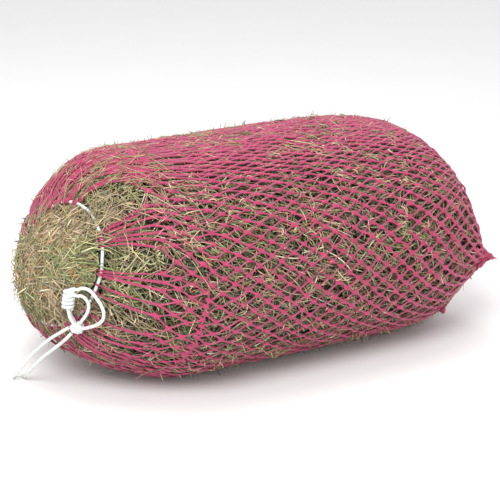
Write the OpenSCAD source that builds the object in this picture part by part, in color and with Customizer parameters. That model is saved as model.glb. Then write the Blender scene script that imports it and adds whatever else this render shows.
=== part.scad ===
// Hay net, filled: a knotless diamond-mesh net lying on its side around a
// small bale of hay, drawn shut at the mouth by a tied white cord.
// Millimetres, +Z up, +X from the mouth to the closed end, the bag rests on z = 0.

/* [Net body] */
// Half of the bag's width across the middle
half_width = 323; // [290:1:350]
// Half of the bag's height before its underside goes flat
half_height = 244; // [225:1:250]
// How much wider the closed end is than the middle
widening = 0.13; // [0:0.01:0.2]
// Thickness of the layer of netting
net_wall = 3; // [2:0.5:4]
// Sides of each cross-section of the netting
net_sides = 48; // [32:8:64]

/* [Mouth] */
// Radius of the drawn-in mouth, at the drawstring's middle
mouth_r = 127; // [110:1:140]
// How far the hay bulges out of the mouth
hay_bulge = 62; // [40:1:80]
// How bluntly the shoulder turns in to the mouth
shoulder = 1.66; // [1.4:0.02:2.2]

/* [Cord] */
// Diameter of the braided drawstring
cord_d = 7; // [5:0.5:8]
// Diameter of the cord laced through the closed end
lacing_d = 6; // [4:0.5:7]

/* [Hay] */
// Gap between one flake of hay and the next
flake_gap = 0.6; // [0.4:0.1:2]
// Clearance between the hay and the netting
hay_gap = 5; // [3:0.5:12]

/* [Hidden] */

end_x = 500;
neck_x = -240;
mid_z = 222;
mouth_c = [-433, 2, 262];
mouth_tilt = 19;
mouth_turn = -7.5;
knot_c = [-461, -103, 161];
knot_r = 13;
stop_c = [-480, -104, 224];
net_pink = [0.86, 0.25, 0.45];
cord_white = [0.93, 0.94, 0.93];
hay_green = [0.53, 0.52, 0.34];

// the flakes' dividing planes, as stations along the bag
flake_at = [-0.80, -0.30, 0.04, 0.18, 0.32, 0.46, 0.60, 0.75, 0.985];

function sat(v) = max(v, 0);
function fall(t, m) = pow(sat(1 - pow(abs(t), m)), 1 / m);
function body_w(x) = half_width * (1 + widening * x / 500) * fall(x / end_x, 4.6);
function body_h(x) = half_height * (1 + 0.01 * x / 500) * fall(x / end_x, 6);
function body_z(x) = mid_z * (1 - 0.078 * x / 500);

// a station s runs from -1 at the mouth, through 0 at the neck, to 1 at the closed end
function turn_in(q) = q >= 1 ? 0 : pow(1 - pow(q, shoulder), 1 / shoulder);
function st_c(s) = s < 0
  ? [neck_x, 0, body_z(neck_x)] * (1 + s) + mouth_c * (-s)
  : let(x = neck_x + (end_x - neck_x) * s) [x, 0, body_z(x)];
function st_w(s) = s < 0
  ? mouth_r + (body_w(neck_x) - mouth_r) * turn_in(-s)
  : body_w(neck_x + (end_x - neck_x) * s);
function st_h(s) = s < 0
  ? mouth_r + (body_h(neck_x) - mouth_r) * turn_in(-s)
  : body_h(neck_x + (end_x - neck_x) * s);
function st_lean(s) = s < 0 ? pow(-s, 1.5) : 0;
function across(s) = let(a = mouth_turn * st_lean(s)) [sin(a), cos(a), 0];
function upward(s) = let(a = mouth_tilt * st_lean(s)) [sin(a), 0, cos(a)];
mouth_out = -cross(across(-1), upward(-1)) / norm(cross(across(-1), upward(-1)));

function floor_at(p, z) = [p[0], p[1], max(p[2], z)];
function ring(s, off, z0, n) = [for (i = [0:n - 1]) let(a = 360 * i / n)
  floor_at(st_c(s) + across(s) * sat(st_w(s) - off) * cos(a)
    + upward(s) * sat(st_h(s) - off) * sin(a), z0)];

// stations of the shell, close together where it curves
shell_at = concat([for (a = [90:-9:9]) -sin(a)], [0],
  [for (a = [6:6:84]) sin(a)], [sin(87)]);

// triangles between ring k and ring k + 1, seen from outside
function band(k, n, flip = false) = [for (i = [0:n - 1])
  let(a = k * n + i, b = k * n + (i + 1) % n, c = a + n, d = b + n)
  each flip ? [[a, b, c], [b, d, c]] : [[a, c, b], [b, c, d]]];

module netting() {
  n = net_sides;
  m = len(shell_at);
  outer = [for (s = shell_at) each ring(s, 0, 0, n)];
  inner = [for (s = shell_at) each ring(s, net_wall, net_wall, n)];
  tip_o = [end_x, 0, body_z(end_x)];
  tip_i = [end_x - net_wall, 0, body_z(end_x)];
  io = 2 * m * n;
  color(net_pink)
  polyhedron(
    points = concat(outer, inner, [tip_o, tip_i]),
    faces = concat(
      [for (k = [0:m - 2]) each band(k, n)],
      [for (k = [m:2 * m - 2]) each band(k, n, true)],
      [for (i = [0:n - 1]) let(j = (i + 1) % n) each
        [[i, j, m * n + i], [j, m * n + j, m * n + i]]],
      [for (i = [0:n - 1]) let(j = (i + 1) % n) [(m - 1) * n + j, (m - 1) * n + i, io]],
      [for (i = [0:n - 1]) let(j = (i + 1) % n) [(2 * m - 1) * n + i, (2 * m - 1) * n + j, io + 1]]),
    convexity = 6);
}

// a closed skin over a list of rings, each of n points, with flat ends
module skin(rings, n, tip = undef) {
  m = len(rings);
  last = (m - 1) * n;
  polyhedron(
    points = concat([for (r = rings) each r], tip == undef ? [] : [tip]),
    faces = concat([[for (i = [0:n - 1]) i]],
      [for (k = [0:m - 2]) each band(k, n)],
      tip == undef ? [[for (i = [n - 1:-1:0]) last + i]]
        : [for (i = [0:n - 1]) [last + (i + 1) % n, last + i, m * n]]),
    convexity = 4);
}

// hay between two stations; the first flake also bulges out of the mouth
function hay_off() = net_wall + hay_gap;
// the hay takes the bag's size a little further along, where the bag is narrower
function nearer_end(s) = s < 0 ? max(s * 1.03, -1) : min(s + 0.014 * s, 0.9994);
function hay_ring(s, n = 40) = let(e = nearer_end(s), off = hay_off())
  [for (i = [0:n - 1]) let(a = 360 * i / n)
    floor_at(st_c(s) + across(s) * sat(st_w(e) - off) * cos(a)
      + upward(s) * sat(st_h(e) - off) * sin(a), off)];
// steps get shorter towards the closed end
function step_at(s0, s1, u) = s1 > 0.9 ? s0 + (s1 - s0) * sin(90 * u) : s0 + (s1 - s0) * u;
function flake_rings(s0, s1, k) = [for (i = [0:k]) hay_ring(step_at(s0, s1, i / k))];
module flake(i) {
  color(hay_green)
  skin(flake_rings(flake_at[i - 1], flake_at[i] - flake_gap / 740, 6), 40);
}

module mouth_flake() {
  n = 40;
  r0 = mouth_r - cord_d / 2 - 2;
  inside = [for (s = [flake_at[0] - 0.004, -0.84, -0.88, -0.92, -0.96, -0.985]) hay_ring(s, n)];
  bulge = [for (t = [0:10:80]) [for (i = [0:n - 1]) let(a = 360 * i / n)
    mouth_c + (across(-1) * cos(a) + upward(-1) * sin(a)) * r0 * cos(t)
      + mouth_out * hay_bulge * sin(t)]];
  color(hay_green)
  skin([for (r = concat(inside, bulge)) [for (j = [n - 1:-1:0]) r[j]]], n, mouth_c + mouth_out * hay_bulge);
}

// smooth curve through hand-placed points
function at(p, i) = p[max(0, min(len(p) - 1, i))];
function curve_pt(p, i, u) = let(a = at(p, i - 1), b = at(p, i), c = at(p, i + 1), d = at(p, i + 2))
  0.5 * (2 * b + (c - a) * u + (2 * a - 5 * b + 4 * c - d) * u * u
    + (3 * b - 3 * c + d - a) * u * u * u);
function curve(p, k) = concat([for (i = [0:len(p) - 2]) for (j = [0:k - 1]) curve_pt(p, i, j / k)],
  [p[len(p) - 1]]);
function unit(v) = v / norm(v);
function tangent(p, i) = unit(p[min(i + 1, len(p) - 1)] - p[max(i - 1, 0)]);
// carries one side vector along the curve so that the tube doesn't twist
function carry(v, t) = unit(v - t * (v * t));
function sides(p, i, v) = i >= len(p) ? [] :
  let(w = carry(v, tangent(p, i))) concat([w], sides(p, i + 1, w));

module tube(p, r, n = 8, start = [0.3, 0.2, 1]) {
  v = sides(p, 0, start);
  rings = [for (i = [0:len(p) - 1]) let(t = tangent(p, i), w = cross(t, v[i]))
    [for (j = [0:n - 1]) let(a = 360 * j / n) p[i] + r * (v[i] * cos(a) + w * sin(a))]];
  skin(rings, n);
}

// the cord that draws the mouth shut, one closed ring just outside the net's rim
module drawstring() {
  n = 10;
  m = 60;
  c = mouth_c + mouth_out * (cord_d / 2 + 0.2);
  rings = [for (k = [0:m - 1]) let(a = 360 * k / m,
      d = across(-1) * cos(a) + upward(-1) * sin(a))
    for (j = [0:n - 1]) let(b = 360 * j / n)
      c + d * (mouth_r + 0.3 + cord_d / 2 * cos(b)) + mouth_out * cord_d / 2 * sin(b)];
  color(cord_white)
  polyhedron(points = rings, faces = [for (k = [0:m - 1]) for (j = [0:n - 1])
    let(a = k * n + j, b = k * n + (j + 1) % n, c1 = ((k + 1) % m) * n + j, d1 = ((k + 1) % m) * n + (j + 1) % n)
    each [[a, b, c1], [b, d1, c1]]], convexity = 4);
}

module slip_knot() {
  color(cord_white) translate(knot_c) sphere(r = knot_r, $fn = 48);
}

module stopper_knot() {
  color(cord_white) hull() {
    translate(stop_c + [-1, 2, -9]) sphere(r = 12.5, $fn = 28);
    translate(stop_c + [2, -2, 9]) sphere(r = 13, $fn = 28);
  }
}

// cord between the stopper knot and the slip knot
outer_route = [[-468, -117, 247], [-459, -128, 252], [-449, -137, 247], [-441, -147, 233], [-435, -156, 217],
  [-433, -160, 202], [-435, -157, 188], [-441, -146, 177], [-449, -132, 169], [-456, -118, 163]];
inner_route = [[-470, -118, 235], [-461, -125, 235], [-453, -129, 226], [-449, -130, 214], [-450, -127, 201],
  [-453, -121, 189], [-457, -113, 178]];
pair_route_a = [[-483, -108, 203], [-479, -107, 188], [-471, -106, 173.5]];
pair_route_b = [[-476, -99, 203], [-472, -97, 189], [-465, -97, 175.5]];

module pull_strand_outer() { color(cord_white) tube(curve(outer_route, 3), cord_d / 2); }
module pull_strand_inner() { color(cord_white) tube(curve(inner_route, 3), cord_d / 2); }
module pull_strand_pair() {
  color(cord_white) {
    tube(curve(pair_route_a, 3), cord_d / 2);
    tube(curve(pair_route_b, 3), cord_d / 2);
  }
}

// the loop that hangs the net up, leaning from the slip knot down to the ground
loop_route = [[-474, -91, 161], [-481, -64, 142], [-488, -33, 120], [-497, 0, 91], [-507, 32, 57],
  [-515, 52, 30], [-520, 66, 14], [-519, 76, 7.5], [-514, 82.5, 4.5], [-506, 83.5, 3.8], [-499.5, 78, 4],
  [-498, 68, 5.5], [-499, 54, 13], [-498, 32, 35], [-491, -4, 70], [-483, -40, 100], [-476, -70, 125],
  [-468, -90, 147]];
module hanging_loop() { color(cord_white) tube(curve(loop_route, 3), cord_d / 2); }

// gathered corners at the closed end, one on each side
ear_front_route = [[455, -262, 172], [470, -274, 174], [484, -284, 175], [494, -292, 175], [502, -299, 174]];
ear_r = [38, 27, 17, 10, 5];
module ear(side) {
  p = [for (q = ear_front_route) [q[0], q[1] * side, q[2]]];
  n = 14;
  rings = [for (i = [0:len(p) - 1]) let(t = tangent(p, i), v = carry([0, 0, 1], t), w = cross(t, v))
    [for (j = [0:n - 1]) let(a = 360 * j / n) p[i] + ear_r[i] * (v * cos(a) * 1.1 + w * sin(a) * 0.5)]];
  color(net_pink) difference() {
    skin(rings, n);
    bag_solid(-0.15);
  }
}
// the bag as one filled solid, let out by a clearance
module bag_solid(off) {
  n = net_sides;
  st = [for (s = shell_at) if (s > 0.4) s];
  skin([for (s = st) ring(s, off, 0, n)], n, [end_x - off, 0, body_z(end_x)]);
}
module corner_ear_front() { ear(1); }
module corner_ear_rear() { ear(-1); }

// cord laced across the closed end, from one corner to the other, at a fixed height
lace_z = 186;
// where the bag's surface lies at a given distance to the side, found by halving
function within(x, y, z) = pow(y / body_w(x), 2) + pow((z - body_z(x)) / body_h(x), 2) < 1;
function reach(y, z, lo, hi, k) = k == 0 ? lo
  : let(m = (lo + hi) / 2) within(m, y, z) ? reach(y, z, m, hi, k - 1) : reach(y, z, lo, m, k - 1);
lace_line = [for (y = [-240:12:240]) [reach(y, lace_z, 300, end_x - 0.001, 22), y]];
lace_route = [for (i = [1:len(lace_line) - 2])
  let(d = unit(lace_line[i + 1] - lace_line[i - 1]))
  [lace_line[i][0] + d[1] * (lacing_d / 2 + 0.4), lace_line[i][1] - d[0] * (lacing_d / 2 + 0.4), lace_z]];
module base_lacing() { color(cord_white) tube(lace_route, lacing_d / 2); }

module hay_flake_1() { mouth_flake(); }
module hay_flake_2() { flake(1); }
module hay_flake_3() { flake(2); }
module hay_flake_4() { flake(3); }
module hay_flake_5() { flake(4); }
module hay_flake_6() { flake(5); }
module hay_flake_7() { flake(6); }
module hay_flake_8() { flake(7); }
module hay_flake_9() { flake(8); }

netting();
corner_ear_front();
corner_ear_rear();
base_lacing();
drawstring();
slip_knot();
stopper_knot();
pull_strand_outer();
pull_strand_inner();
pull_strand_pair();
hanging_loop();
hay_flake_1();
hay_flake_2();
hay_flake_3();
hay_flake_4();
hay_flake_5();
hay_flake_6();
hay_flake_7();
hay_flake_8();
hay_flake_9();
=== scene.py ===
import math
import bpy
import numpy as np
from mathutils import Matrix


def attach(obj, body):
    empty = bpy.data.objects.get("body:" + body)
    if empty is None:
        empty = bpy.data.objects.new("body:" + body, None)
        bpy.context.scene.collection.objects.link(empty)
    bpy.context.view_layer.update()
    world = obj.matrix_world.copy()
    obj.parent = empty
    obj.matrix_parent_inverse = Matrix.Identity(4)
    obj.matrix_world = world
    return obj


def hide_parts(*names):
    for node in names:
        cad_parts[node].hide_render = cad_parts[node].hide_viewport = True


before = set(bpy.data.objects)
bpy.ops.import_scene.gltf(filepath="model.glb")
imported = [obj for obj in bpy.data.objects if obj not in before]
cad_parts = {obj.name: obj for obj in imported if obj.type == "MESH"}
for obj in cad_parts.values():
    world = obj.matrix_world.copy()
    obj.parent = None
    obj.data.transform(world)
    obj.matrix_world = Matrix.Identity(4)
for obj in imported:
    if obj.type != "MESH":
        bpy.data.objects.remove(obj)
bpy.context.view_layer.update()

scene = bpy.context.scene
scene.view_settings.view_transform = "Standard"
rng = np.random.default_rng(20264)

# ---------------------------------------------------------------- camera, floor, light
AZ, EL = math.radians(-35.7), math.radians(18.4)
back = np.array([math.sin(AZ) * math.cos(EL), -math.cos(AZ) * math.cos(EL), math.sin(EL)])
right = np.array([math.cos(AZ), math.sin(AZ), 0.0])
up = np.cross(back, right)
cam_data = bpy.data.cameras.new("camera")
cam = bpy.data.objects.new("camera", cam_data)
scene.collection.objects.link(cam)
pos = np.array([0, 0, 0.22]) + back * 3.312
cam.matrix_world = Matrix([[right[0], up[0], back[0], pos[0]], [right[1], up[1], back[1], pos[1]],
                           [right[2], up[2], back[2], pos[2]], [0, 0, 0, 1]])
cam_data.lens, cam_data.sensor_width = 108.0, 36.0
cam_data.shift_x, cam_data.shift_y = 0.0302, -0.0118
cam_data.clip_end = 50
scene.camera = cam


def area(name, at, aim, size, power, colour=(1, 1, 1)):
    d = bpy.data.lights.new(name, "AREA")
    d.shape, d.size, d.energy, d.color = "DISK", size, power, colour
    o = bpy.data.objects.new(name, d)
    scene.collection.objects.link(o)
    z = np.array(at, float) - np.array(aim, float)
    z /= np.linalg.norm(z)
    x = np.cross([0, 0, 1], z) if abs(z[2]) < 0.99 else np.array([1.0, 0, 0])
    x /= np.linalg.norm(x)
    y = np.cross(z, x)
    o.matrix_world = Matrix([[x[0], y[0], z[0], at[0]], [x[1], y[1], z[1], at[1]], [x[2], y[2], z[2], at[2]], [0, 0, 0, 1]])


area("key", (-2.1, -1.8, 3.0), (0, 0, 0.2), 2.0, 92)
area("fill", (-1.1, -3.3, 1.4), (-0.2, 0, 0.2), 2.4, 12)
area("top", (-0.1, 0.6, 3.4), (0, 0, 0.2), 2.6, 40)
world = bpy.data.worlds.new("studio")
scene.world = world
world.use_nodes = True
world.node_tree.nodes["Background"].inputs["Color"].default_value = (1, 1, 1, 1)
world.node_tree.nodes["Background"].inputs["Strength"].default_value = 0.82


# ---------------------------------------------------------------- mesh helpers (millimetres in, metres out)
class Build:
    def __init__(self):
        self.v, self.c, self.f, self.m, self.n = [], [], [], [], 0

    def add(self, v, faces, colour, mat=0):
        v = np.asarray(v, float).reshape(-1, 3)
        c = np.asarray(colour, float)
        c = np.broadcast_to(c, (len(v), 3)) if c.ndim == 1 else c.reshape(-1, 3)
        self.v.append(v)
        self.c.append(c)
        for f in faces:
            f = np.asarray(f, int)
            self.f.append(f + self.n)
            self.m.append(mat)
        self.n += len(v)

    def tubes(self, p, rw, rh, nrm, sides, colour, mat=0, phase=0.0):
        p = np.asarray(p, float)
        n, k, _ = p.shape
        t = np.empty_like(p)
        t[:, 1:-1] = p[:, 2:] - p[:, :-2]
        t[:, 0], t[:, -1] = p[:, 1] - p[:, 0], p[:, -1] - p[:, -2]
        t /= np.maximum(np.linalg.norm(t, axis=-1, keepdims=True), 1e-9)
        b = np.cross(np.broadcast_to(nrm, p.shape), t)
        b /= np.maximum(np.linalg.norm(b, axis=-1, keepdims=True), 1e-9)
        u = np.cross(t, b)
        a = phase + 2 * np.pi * np.arange(sides) / sides
        rw = np.broadcast_to(np.asarray(rw, float), (n, k))[:, :, None, None]
        rh = np.broadcast_to(np.asarray(rh, float), (n, k))[:, :, None, None]
        v = p[:, :, None, :] + b[:, :, None, :] * rw * np.cos(a)[:, None] + u[:, :, None, :] * rh * np.sin(a)[:, None]
        base = (np.arange(n) * k * sides)[:, None, None]
        row = (np.arange(k - 1) * sides)[None, :, None]
        i = np.arange(sides)[None, None, :]
        j = (i + 1) % sides
        quads = np.stack([base + row + i, base + row + j, base + row + sides + j, base + row + sides + i], -1).reshape(-1, 4)
        s = np.arange(sides)
        cap0 = (np.arange(n) * k * sides)[:, None] + s[None, ::-1]
        cap1 = (np.arange(n) * k * sides + (k - 1) * sides)[:, None] + s[None, :]
        c = np.asarray(colour, float)
        if c.ndim == 1:
            c = np.broadcast_to(c, (n, k, 3))
        elif c.ndim == 2:
            c = np.broadcast_to(c[:, None, :], (n, k, 3))
        self.add(v.reshape(-1, 3), [quads, cap0, cap1], np.repeat(c.reshape(-1, 3), sides, axis=0), mat)

    def grid(self, p, colour, wrap=True, mat=0, flip=False):
        a, b, _ = p.shape
        i = np.arange(a - 1)[:, None]
        j = np.arange(b if wrap else b - 1)[None, :]
        j2 = (j + 1) % b
        q = np.stack([i * b + j, i * b + j2, (i + 1) * b + j2, (i + 1) * b + j], -1).reshape(-1, 4)
        self.add(p.reshape(-1, 3), [q[:, ::-1] if flip else q], colour, mat)

    def make(self, name, mats):
        v = np.concatenate(self.v) * 0.001
        me = bpy.data.meshes.new(name)
        loops = np.concatenate([f.ravel() for f in self.f])
        total = np.concatenate([np.full(len(f), f.shape[1]) for f in self.f])
        index = np.concatenate([np.full(len(f), m) for f, m in zip(self.f, self.m)])
        start = np.concatenate([[0], np.cumsum(total)[:-1]])
        me.vertices.add(len(v))
        me.vertices.foreach_set("co", v.astype(np.float32).ravel())
        me.loops.add(len(loops))
        me.loops.foreach_set("vertex_index", loops.astype(np.int32))
        me.polygons.add(len(total))
        me.polygons.foreach_set("loop_start", start.astype(np.int32))
        me.polygons.foreach_set("loop_total", total.astype(np.int32))
        me.polygons.foreach_set("material_index", index.astype(np.int32))
        me.polygons.foreach_set("use_smooth", np.ones(len(total), bool))
        me.update(calc_edges=True)
        a = me.color_attributes.new("tint", "FLOAT_COLOR", "POINT")
        a.data.foreach_set("color", np.c_[np.concatenate(self.c), np.ones(len(v))].astype(np.float32).ravel())
        for m in mats:
            me.materials.append(m)
        o = bpy.data.objects.new(name, me)
        scene.collection.objects.link(o)
        return o


def lin(c):
    c = np.asarray(c, float) / 255
    return np.where(c <= 0.04045, c / 12.92, ((c + 0.055) / 1.055) ** 2.4)


def unit(v):
    return v / np.maximum(np.linalg.norm(v, axis=-1, keepdims=True), 1e-9)


def curve(p, k):
    p = np.asarray(p, float)
    q = np.vstack([p[0], p, p[-1]])
    out = []
    for i in range(len(p) - 1):
        a, b, c, d = q[i], q[i + 1], q[i + 2], q[i + 3]
        for u in np.arange(k) / k:
            out.append(0.5 * (2 * b + (c - a) * u + (2 * a - 5 * b + 4 * c - d) * u * u + (3 * b - 3 * c + d - a) * u ** 3))
    return np.array(out + [p[-1]])


def even(p, step):
    d = np.r_[0, np.cumsum(np.linalg.norm(np.diff(p, axis=0), axis=1))]
    n = max(int(d[-1] / step), 4)
    s = np.linspace(0, d[-1], n + 1)
    return np.stack([np.interp(s, d, p[:, i]) for i in range(3)], -1)


def smooth(a, b, x):
    t = np.clip((x - a) / (b - a), 0, 1)
    return t * t * (3 - 2 * t)


class Noise:
    """smooth lattice noise in two directions, the second one wrapping round"""

    def __init__(self, nu, nv):
        self.g = rng.standard_normal((nu, nv))

    def __call__(self, u, v):
        nu, nv = self.g.shape
        u = np.clip(u, 0, 1) * (nu - 1)
        v = np.mod(v, 1) * nv
        i, j = np.minimum(u.astype(int), nu - 2), v.astype(int) % nv
        a, b = u - i, v - np.floor(v)
        a, b = a * a * (3 - 2 * a), b * b * (3 - 2 * b)
        j2 = (j + 1) % nv
        g = self.g
        return (g[i, j] * (1 - a) + g[i + 1, j] * a) * (1 - b) + (g[i, j2] * (1 - a) + g[i + 1, j2] * a) * b


# ---------------------------------------------------------------- the bag's surface, as in the CAD part
NX, EX = -240.0, 500.0
RC = np.array([-433.0, 2, 262])
MR = 127.0
TY, TZ = math.radians(-7.5), math.radians(19)
U1 = np.array([math.sin(TY), math.cos(TY), 0])
V1 = np.array([math.sin(TZ), 0, math.cos(TZ)])
OUT = -unit(np.cross(U1, V1))


def fall(t, m):
    return np.maximum(1 - np.abs(t) ** m, 0) ** (1 / m)


def bw(x):
    return 323 * (1 + 0.13 * x / 500) * fall(x / 500, 4.6)


def bh(x):
    return 244 * (1 + 0.01 * x / 500) * fall(x / 500, 6)


def bz(x):
    return 222 * (1 - 0.078 * x / 500)


def surf(s, ph):
    s, ph = np.broadcast_arrays(np.asarray(s, float), np.asarray(ph, float))
    q = np.clip(-s, 0, 1)
    neck = s < 0
    g = np.maximum(1 - q ** 1.66, 0) ** (1 / 1.66)
    x = np.where(neck, NX, NX + (EX - NX) * np.clip(s, 0, 1))
    a, b = bw(x), bh(x)
    a, b = np.where(neck, MR + (a - MR) * g, a), np.where(neck, MR + (b - MR) * g, b)
    c0 = np.array([NX, 0, bz(NX)])
    c = np.where(neck[..., None], c0 * (1 - q)[..., None] + RC * q[..., None], np.stack([x, 0 * x, bz(x)], -1))
    lean = q ** 1.5
    u = np.stack([np.sin(TY * lean), np.cos(TY * lean), 0 * lean], -1)
    v = np.stack([np.sin(TZ * lean), 0 * lean, np.cos(TZ * lean)], -1)
    p = c + u * (a * np.cos(ph))[..., None] + v * (b * np.sin(ph))[..., None]
    p[..., 2] = np.maximum(p[..., 2], 0)
    return p


S_RIM = 0.90
NF = 448
s_rows = np.r_[-np.cos(np.linspace(0, np.pi / 2, 90)), np.linspace(0, S_RIM, 90)[1:]]
dense = np.linspace(-np.pi / 2, 1.5 * np.pi, 2881)
TAB, PHT = [], []
for s_ in s_rows:
    q_ = surf(np.full_like(dense, s_), dense)
    d_ = np.r_[0, np.cumsum(np.linalg.norm(np.diff(q_, axis=0), axis=1))]
    ph_ = np.interp(np.arange(NF) / NF * d_[-1], d_, dense)
    TAB.append(surf(np.full(NF, s_), ph_))
    PHT.append(ph_)
TAB, PHT = np.array(TAB), np.array(PHT)
NS = len(s_rows)
PER = np.linalg.norm(np.roll(TAB, -1, 1) - TAB, axis=-1).sum(1)
LCOL = np.vstack([np.zeros(NF), np.cumsum(np.linalg.norm(np.diff(TAB, axis=0), axis=-1), 0)])
LM = LCOL.mean(1)
_du = np.gradient(TAB, axis=0)
_dv = np.roll(TAB, -1, 1) - np.roll(TAB, 1, 1)
NTAB = unit(np.cross(_dv, _du))
if (NTAB[NS // 2, :, :] * (TAB[NS // 2] - TAB[NS // 2].mean(0))).sum() < 0:
    NTAB = -NTAB
NTAB[0] = NTAB[1]


def look(tab, l, f):
    """table value at a mean length l from the mouth and a fraction f of the way round"""
    i = np.interp(l, LM, np.arange(NS))
    i0 = np.minimum(i.astype(int), NS - 2)
    a = (i - i0)[..., None]
    j = np.mod(f, 1) * NF
    j0 = j.astype(int) % NF
    b = (j - np.floor(j))[..., None]
    j1 = (j0 + 1) % NF
    return (tab[i0, j0] * (1 - a) + tab[i0 + 1, j0] * a) * (1 - b) + (tab[i0, j1] * (1 - a) + tab[i0 + 1, j1] * a) * b


def on_body(l, f, off):
    p = look(TAB, l, f) + unit(look(NTAB, l, f)) * np.asarray(off)[..., None]
    return p


def l_at(s):
    return float(np.interp(s, s_rows, LM))


def frac_at_ring(deg):
    ph = math.radians(deg)
    if ph > 1.5 * np.pi:
        ph -= 2 * np.pi
    return float(np.interp(ph, np.r_[PHT[0], 1.5 * np.pi], np.arange(NF + 1) / NF))


def cap_x(y, z):
    """x of the closed end at each y and z, by halving"""
    lo, hi = np.full(np.shape(y), 250.0), np.full(np.shape(y), 499.999)
    for _ in range(24):
        m = (lo + hi) / 2
        inside = (y / np.maximum(bw(m), 1e-6)) ** 2 + ((z - bz(m)) / np.maximum(bh(m), 1e-6)) ** 2 < 1
        lo, hi = np.where(inside, m, lo), np.where(inside, hi, m)
    return lo


def on_cap(y, z, off):
    x = cap_x(y, z)
    e = 1.5
    gy = (cap_x(y + e, z) - cap_x(y - e, z)) / (2 * e)
    gz = (cap_x(y, z + e) - cap_x(y, z - e)) / (2 * e)
    n = unit(np.stack([np.ones_like(x), -gy, -gz], -1))
    return np.stack([x, y, z], -1) + n * np.asarray(off)[..., None], n


def on_dome(a, b, off, h=62.0, r0=121.5):
    """the hay that bulges out of the mouth, at a and b across it"""
    r = np.hypot(a, b) / r0
    k = np.minimum(1, 0.985 / np.maximum(r, 1e-6))
    a, b, r = a * k, b * k, r * k
    c = np.sqrt(np.maximum(1 - r * r, 0))
    # it falls away more evenly at the top, where the drawstring shows beyond it
    turn = np.degrees(np.arctan2(b, a))
    low = smooth(4, 28, turn) * (1 - smooth(84, 110, turn)) * smooth(0.25, 0.85, r)
    p = RC + a[..., None] * U1 + b[..., None] * V1 + (h * (c * (1 - low) + 0.80 * (1 - r * r) * low))[..., None] * OUT
    n = unit((a / r0 ** 2)[..., None] * U1 + (b / r0 ** 2)[..., None] * V1 + (np.maximum(c, 0.5 * low) / h)[..., None] * OUT)
    return p + n * np.asarray(off)[..., None], n


# ---------------------------------------------------------------- materials
def material(name, build):
    m = bpy.data.materials.new(name)
    m.use_nodes = True
    nt = m.node_tree
    build(nt, nt.nodes["Principled BSDF"])
    return m


def node(nt, kind, **inputs):
    n = nt.nodes.new(kind)
    for k, v in inputs.items():
        n.inputs[k].default_value = v
    return n


def coords(nt):
    return nt.nodes.new("ShaderNodeTexCoord").outputs["Object"]


def mix(nt, how, fac, a, b):
    n = nt.nodes.new("ShaderNodeMix")
    n.data_type, n.blend_type = "RGBA", how
    for key, val in ((0, fac), (6, a), (7, b)):
        if isinstance(val, bpy.types.NodeSocket):
            nt.links.new(val, n.inputs[key])
        else:
            n.inputs[key].default_value = val
    return n.outputs[2]


def remap(nt, value, a, b, c, d):
    n = nt.nodes.new("ShaderNodeMapRange")
    nt.links.new(value, n.inputs[0])
    for i, x in enumerate((a, b, c, d)):
        n.inputs[i + 1].default_value = x
    return n.outputs[0]


def twine_mat(nt, p):
    at = nt.nodes.new("ShaderNodeAttribute")
    at.attribute_name = "tint"
    big = node(nt, "ShaderNodeTexNoise", Scale=24.0, Detail=3.0)
    fine = node(nt, "ShaderNodeTexNoise", Scale=900.0, Detail=2.0)
    fib = node(nt, "ShaderNodeTexWave", Scale=230.0, Distortion=3.0, Detail=2.0)
    fib.bands_direction = "DIAGONAL"
    c = coords(nt)
    for n in (big, fine, fib):
        nt.links.new(c, n.inputs["Vector"])
    v1 = mix(nt, "MULTIPLY", remap(nt, big.outputs["Fac"], 0.35, 0.65, 0.0, 0.8), at.outputs["Color"], (0.84, 0.70, 0.72, 1))
    v2 = mix(nt, "MIX", remap(nt, fine.outputs["Fac"], 0.5, 0.75, 0.0, 0.22), v1, (0.95, 0.42, 0.60, 1))
    # painted shade: the twine is darkened where the fibre bump is low, in the grooves between the fibres
    v3 = mix(nt, "MULTIPLY", remap(nt, fib.outputs["Fac"], 0.0, 0.5, 0.35, 0.0), v2, (0.72, 0.5, 0.6, 1))
    nt.links.new(v3, p.inputs["Base Color"])
    nt.links.new(remap(nt, fine.outputs["Fac"], 0.3, 0.7, 0.42, 0.66), p.inputs["Roughness"])
    b = node(nt, "ShaderNodeBump", Strength=0.5, Distance=0.0006)
    nt.links.new(fib.outputs["Fac"], b.inputs["Height"])
    nt.links.new(b.outputs[0], p.inputs["Normal"])
    p.inputs["Sheen Weight"].default_value = 0.25
    p.inputs["Sheen Roughness"].default_value = 0.4


def cord_mat(nt, p):
    at = nt.nodes.new("ShaderNodeAttribute")
    at.attribute_name = "tint"
    soil = node(nt, "ShaderNodeTexNoise", Scale=35.0, Detail=4.0)
    fine = node(nt, "ShaderNodeTexNoise", Scale=1500.0, Detail=2.0)
    c = coords(nt)
    for n in (soil, fine):
        nt.links.new(c, n.inputs["Vector"])
    v1 = mix(nt, "MULTIPLY", remap(nt, soil.outputs["Fac"], 0.45, 0.75, 0.0, 0.6), at.outputs["Color"], (0.86, 0.86, 0.80, 1))
    v2 = mix(nt, "MULTIPLY", remap(nt, fine.outputs["Fac"], 0.35, 0.6, 0.3, 0.0), v1, (0.8, 0.82, 0.84, 1))
    nt.links.new(v2, p.inputs["Base Color"])
    nt.links.new(remap(nt, fine.outputs["Fac"], 0.3, 0.7, 0.55, 0.8), p.inputs["Roughness"])
    b = node(nt, "ShaderNodeBump", Strength=0.35, Distance=0.0003)
    nt.links.new(fine.outputs["Fac"], b.inputs["Height"])
    nt.links.new(b.outputs[0], p.inputs["Normal"])
    p.inputs["Sheen Weight"].default_value = 0.2


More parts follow.
